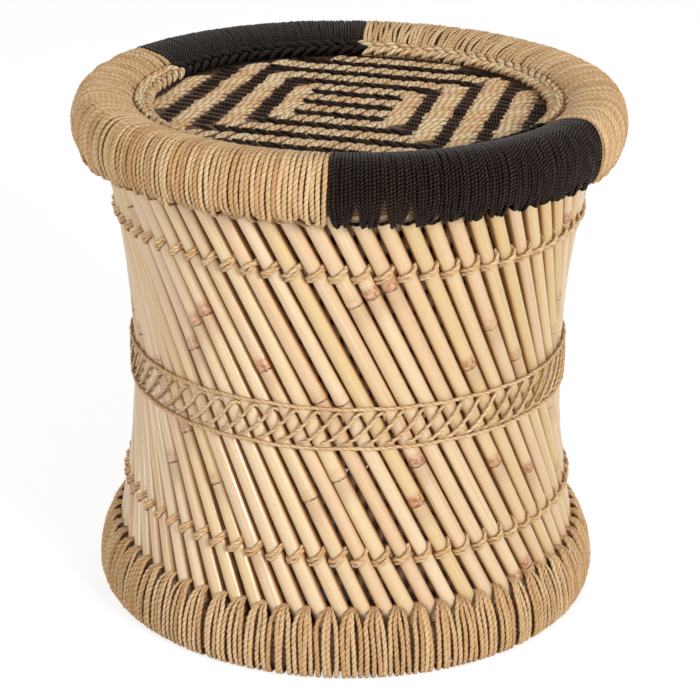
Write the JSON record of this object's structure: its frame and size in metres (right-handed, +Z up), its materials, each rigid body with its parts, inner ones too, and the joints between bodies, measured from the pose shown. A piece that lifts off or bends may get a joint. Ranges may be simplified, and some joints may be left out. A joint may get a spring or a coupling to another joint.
{
  "type": "stool",
  "caption": "Waisted reed-and-rope stool: crossed slanting reeds between a wound base ring and a wound rim that holds a woven seat.",
  "frame": {"origin": "middle of the footprint, on the floor plane", "axes": "+Z up through the seat; -Y faces the pictured front; +X to its right"},
  "size_m": [0.3992, 0.3992, 0.384],
  "materials": {
    "reed": "smooth natural reed cane, satin",
    "natural_cord": "twisted natural grass rope, matte",
    "black_cord": "black twisted cord, slight sheen",
    "seat_cord": "twined natural and black rope, matte",
    "hoop": "dry bundled grass hoop, rough"
  },
  "bodies": {
    "root": {"outer_reeds_01": "reed", "inner_reeds_01": "reed", "outer_reeds_02": "reed", "inner_reeds_02": "reed", "outer_reeds_03": "reed", "inner_reeds_03": "reed", "outer_reeds_04": "reed", "inner_reeds_04": "reed", "outer_reeds_05": "reed", "inner_reeds_05": "reed", "outer_reeds_06": "reed", "inner_reeds_06": "reed", "outer_reeds_07": "reed", "inner_reeds_07": "reed", "outer_reeds_08": "reed", "inner_reeds_08": "reed", "outer_reeds_09": "reed", "inner_reeds_09": "reed", "outer_reeds_10": "reed", "inner_reeds_10": "reed", "outer_reeds_11": "reed", "inner_reeds_11": "reed", "outer_reeds_12": "reed", "inner_reeds_12": "reed", "outer_reeds_13": "reed", "inner_reeds_13": "reed", "outer_reeds_14": "reed", "inner_reeds_14": "reed", "outer_reeds_15": "reed", "inner_reeds_15": "reed", "outer_reeds_16": "reed", "inner_reeds_16": "reed", "outer_reeds_17": "reed", "inner_reeds_17": "reed", "rim_core": "hoop", "base_core": "hoop", "upper_lashing": "natural_cord", "lower_lashing": "natural_cord", "waist_band": "natural_cord", "rim_wrap_black_front": "black_cord", "seat_border_black_front": "black_cord", "rim_wrap_natural_right": "natural_cord", "seat_border_natural_right": "natural_cord", "rim_wrap_black_back": "black_cord", "seat_border_black_back": "black_cord", "rim_wrap_natural_left": "natural_cord", "seat_border_natural_left": "natural_cord", "base_wrap_1": "natural_cord", "base_wrap_2": "natural_cord", "base_wrap_3": "natural_cord", "seat_weave": "seat_cord"}
  },
  "joints": []
}
